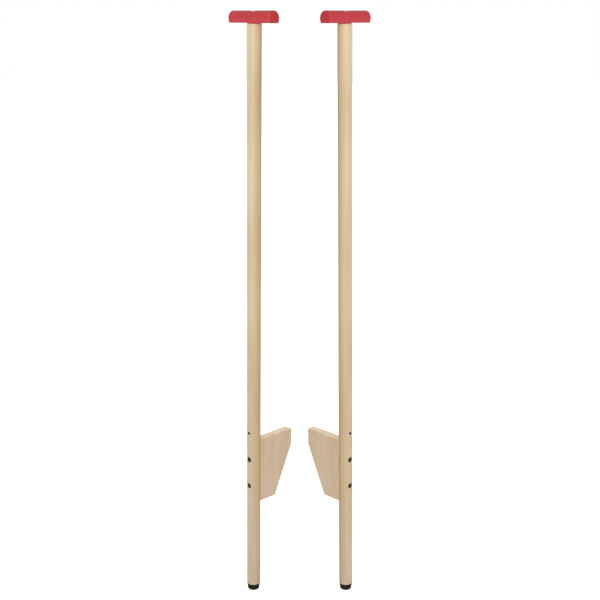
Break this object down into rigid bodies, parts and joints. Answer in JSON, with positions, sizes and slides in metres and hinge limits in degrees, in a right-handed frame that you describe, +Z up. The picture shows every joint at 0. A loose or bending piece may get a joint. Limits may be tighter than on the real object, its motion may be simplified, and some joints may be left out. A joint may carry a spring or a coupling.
{
  "type": "pole stilts",
  "caption": "Pair of children's wooden pole stilts with moulded T-grips, bolted wedge footrests that can be set higher, and rubber feet.",
  "frame": {"origin": "on the floor, midway between the two stilts, under the middle of the overall box", "axes": "+Z up the poles, +X from the left stilt to the right one, +Y away from the user's front, the way the footrests slant"},
  "size_m": [0.268, 0.124, 1.2006],
  "materials": {
    "wood": "pale hardwood, clear satin lacquer",
    "red_plastic": "moulded, soft gloss",
    "black_rubber": "matt",
    "black_steel": "blackened",
    "bright_steel": "zinc plated",
    "brass": "turned"
  },
  "bodies": {
    "left_stilt": {"left_pole": "wood", "left_grip": "red_plastic", "left_grip_screw": "bright_steel", "left_rubber_foot": "black_rubber", "left_foot_washer": "bright_steel", "left_foot_screw": "bright_steel"},
    "right_stilt": {"right_pole": "wood", "right_grip": "red_plastic", "right_grip_screw": "bright_steel", "right_rubber_foot": "black_rubber", "right_foot_washer": "bright_steel", "right_foot_screw": "bright_steel"},
    "left_step": {"left_footrest": "wood", "left_inserts": "brass"},
    "left_upper_washer": {"left_upper_washer": "black_steel"},
    "left_upper_bolt": {"left_upper_bolt": "black_steel"},
    "left_lower_washer": {"left_lower_washer": "black_steel"},
    "left_lower_bolt": {"left_lower_bolt": "black_steel"},
    "right_step": {"right_footrest": "wood", "right_inserts": "brass"},
    "right_upper_washer": {"right_upper_washer": "black_steel"},
    "right_upper_bolt": {"right_upper_bolt": "black_steel"},
    "right_lower_washer": {"right_lower_washer": "black_steel"},
    "right_lower_bolt": {"right_lower_bolt": "black_steel"}
  },
  "joints": [
    {"name": "right_stilt_lift", "type": "slide", "parent": "left_stilt", "child": "right_stilt", "axis": [0, 0, 1], "range_m": [0, 0.2]},
    {"name": "left_step_off", "type": "slide", "parent": "left_stilt", "child": "left_step", "axis": [0.707, 0.7071, -0.0095], "range_m": [0, 0.05]},
    {"name": "left_upper_bolt_travel", "type": "slide", "parent": "left_stilt", "child": "left_upper_washer", "axis": [-0.707, -0.7071, 0.0095], "range_m": [0, 0.013]},
    {"name": "left_upper_bolt_turn", "type": "hinge", "parent": "left_upper_washer", "child": "left_upper_bolt", "pos_m": [-0.09567, -0.01531, 0.30397], "axis": [-0.707, -0.7071, 0.0095], "range_deg": [0, 4680]},
    {"name": "left_lower_bolt_travel", "type": "slide", "parent": "left_stilt", "child": "left_lower_washer", "axis": [-0.707, -0.7071, 0.0095], "range_m": [0, 0.013]},
    {"name": "left_lower_bolt_turn", "type": "hinge", "parent": "left_lower_washer", "child": "left_lower_bolt", "pos_m": [-0.09646, -0.01531, 0.24498], "axis": [-0.707, -0.7071, 0.0095], "range_deg": [0, 4680]},
    {"name": "right_step_off", "type": "slide", "parent": "right_stilt", "child": "right_step", "axis": [-0.707, 0.7071, -0.0095], "range_m": [0, 0.05]},
    {"name": "right_upper_bolt_travel", "type": "slide", "parent": "right_stilt", "child": "right_upper_washer", "axis": [0.707, -0.7071, 0.0095], "range_m": [0, 0.013]},
    {"name": "right_upper_bolt_turn", "type": "hinge", "parent": "right_upper_washer", "child": "right_upper_bolt", "pos_m": [0.09567, -0.01531, 0.30397], "axis": [0.707, -0.7071, 0.0095], "range_deg": [0, 4680]},
    {"name": "right_lower_bolt_travel", "type": "slide", "parent": "right_stilt", "child": "right_lower_washer", "axis": [0.707, -0.7071, 0.0095], "range_m": [0, 0.013]},
    {"name": "right_lower_bolt_turn", "type": "hinge", "parent": "right_lower_washer", "child": "right_lower_bolt", "pos_m": [0.09646, -0.01531, 0.24498], "axis": [0.707, -0.7071, 0.0095], "range_deg": [0, 4680]}
  ],
  "couplings": [
    {"joint": "left_upper_bolt_turn", "follows": "left_upper_bolt_travel", "rad_per_m": 6283.2},
    {"joint": "left_lower_bolt_turn", "follows": "left_lower_bolt_travel", "rad_per_m": 6283.2},
    {"joint": "right_upper_bolt_turn", "follows": "right_upper_bolt_travel", "rad_per_m": 6283.2},
    {"joint": "right_lower_bolt_turn", "follows": "right_lower_bolt_travel", "rad_per_m": 6283.2}
  ]
}
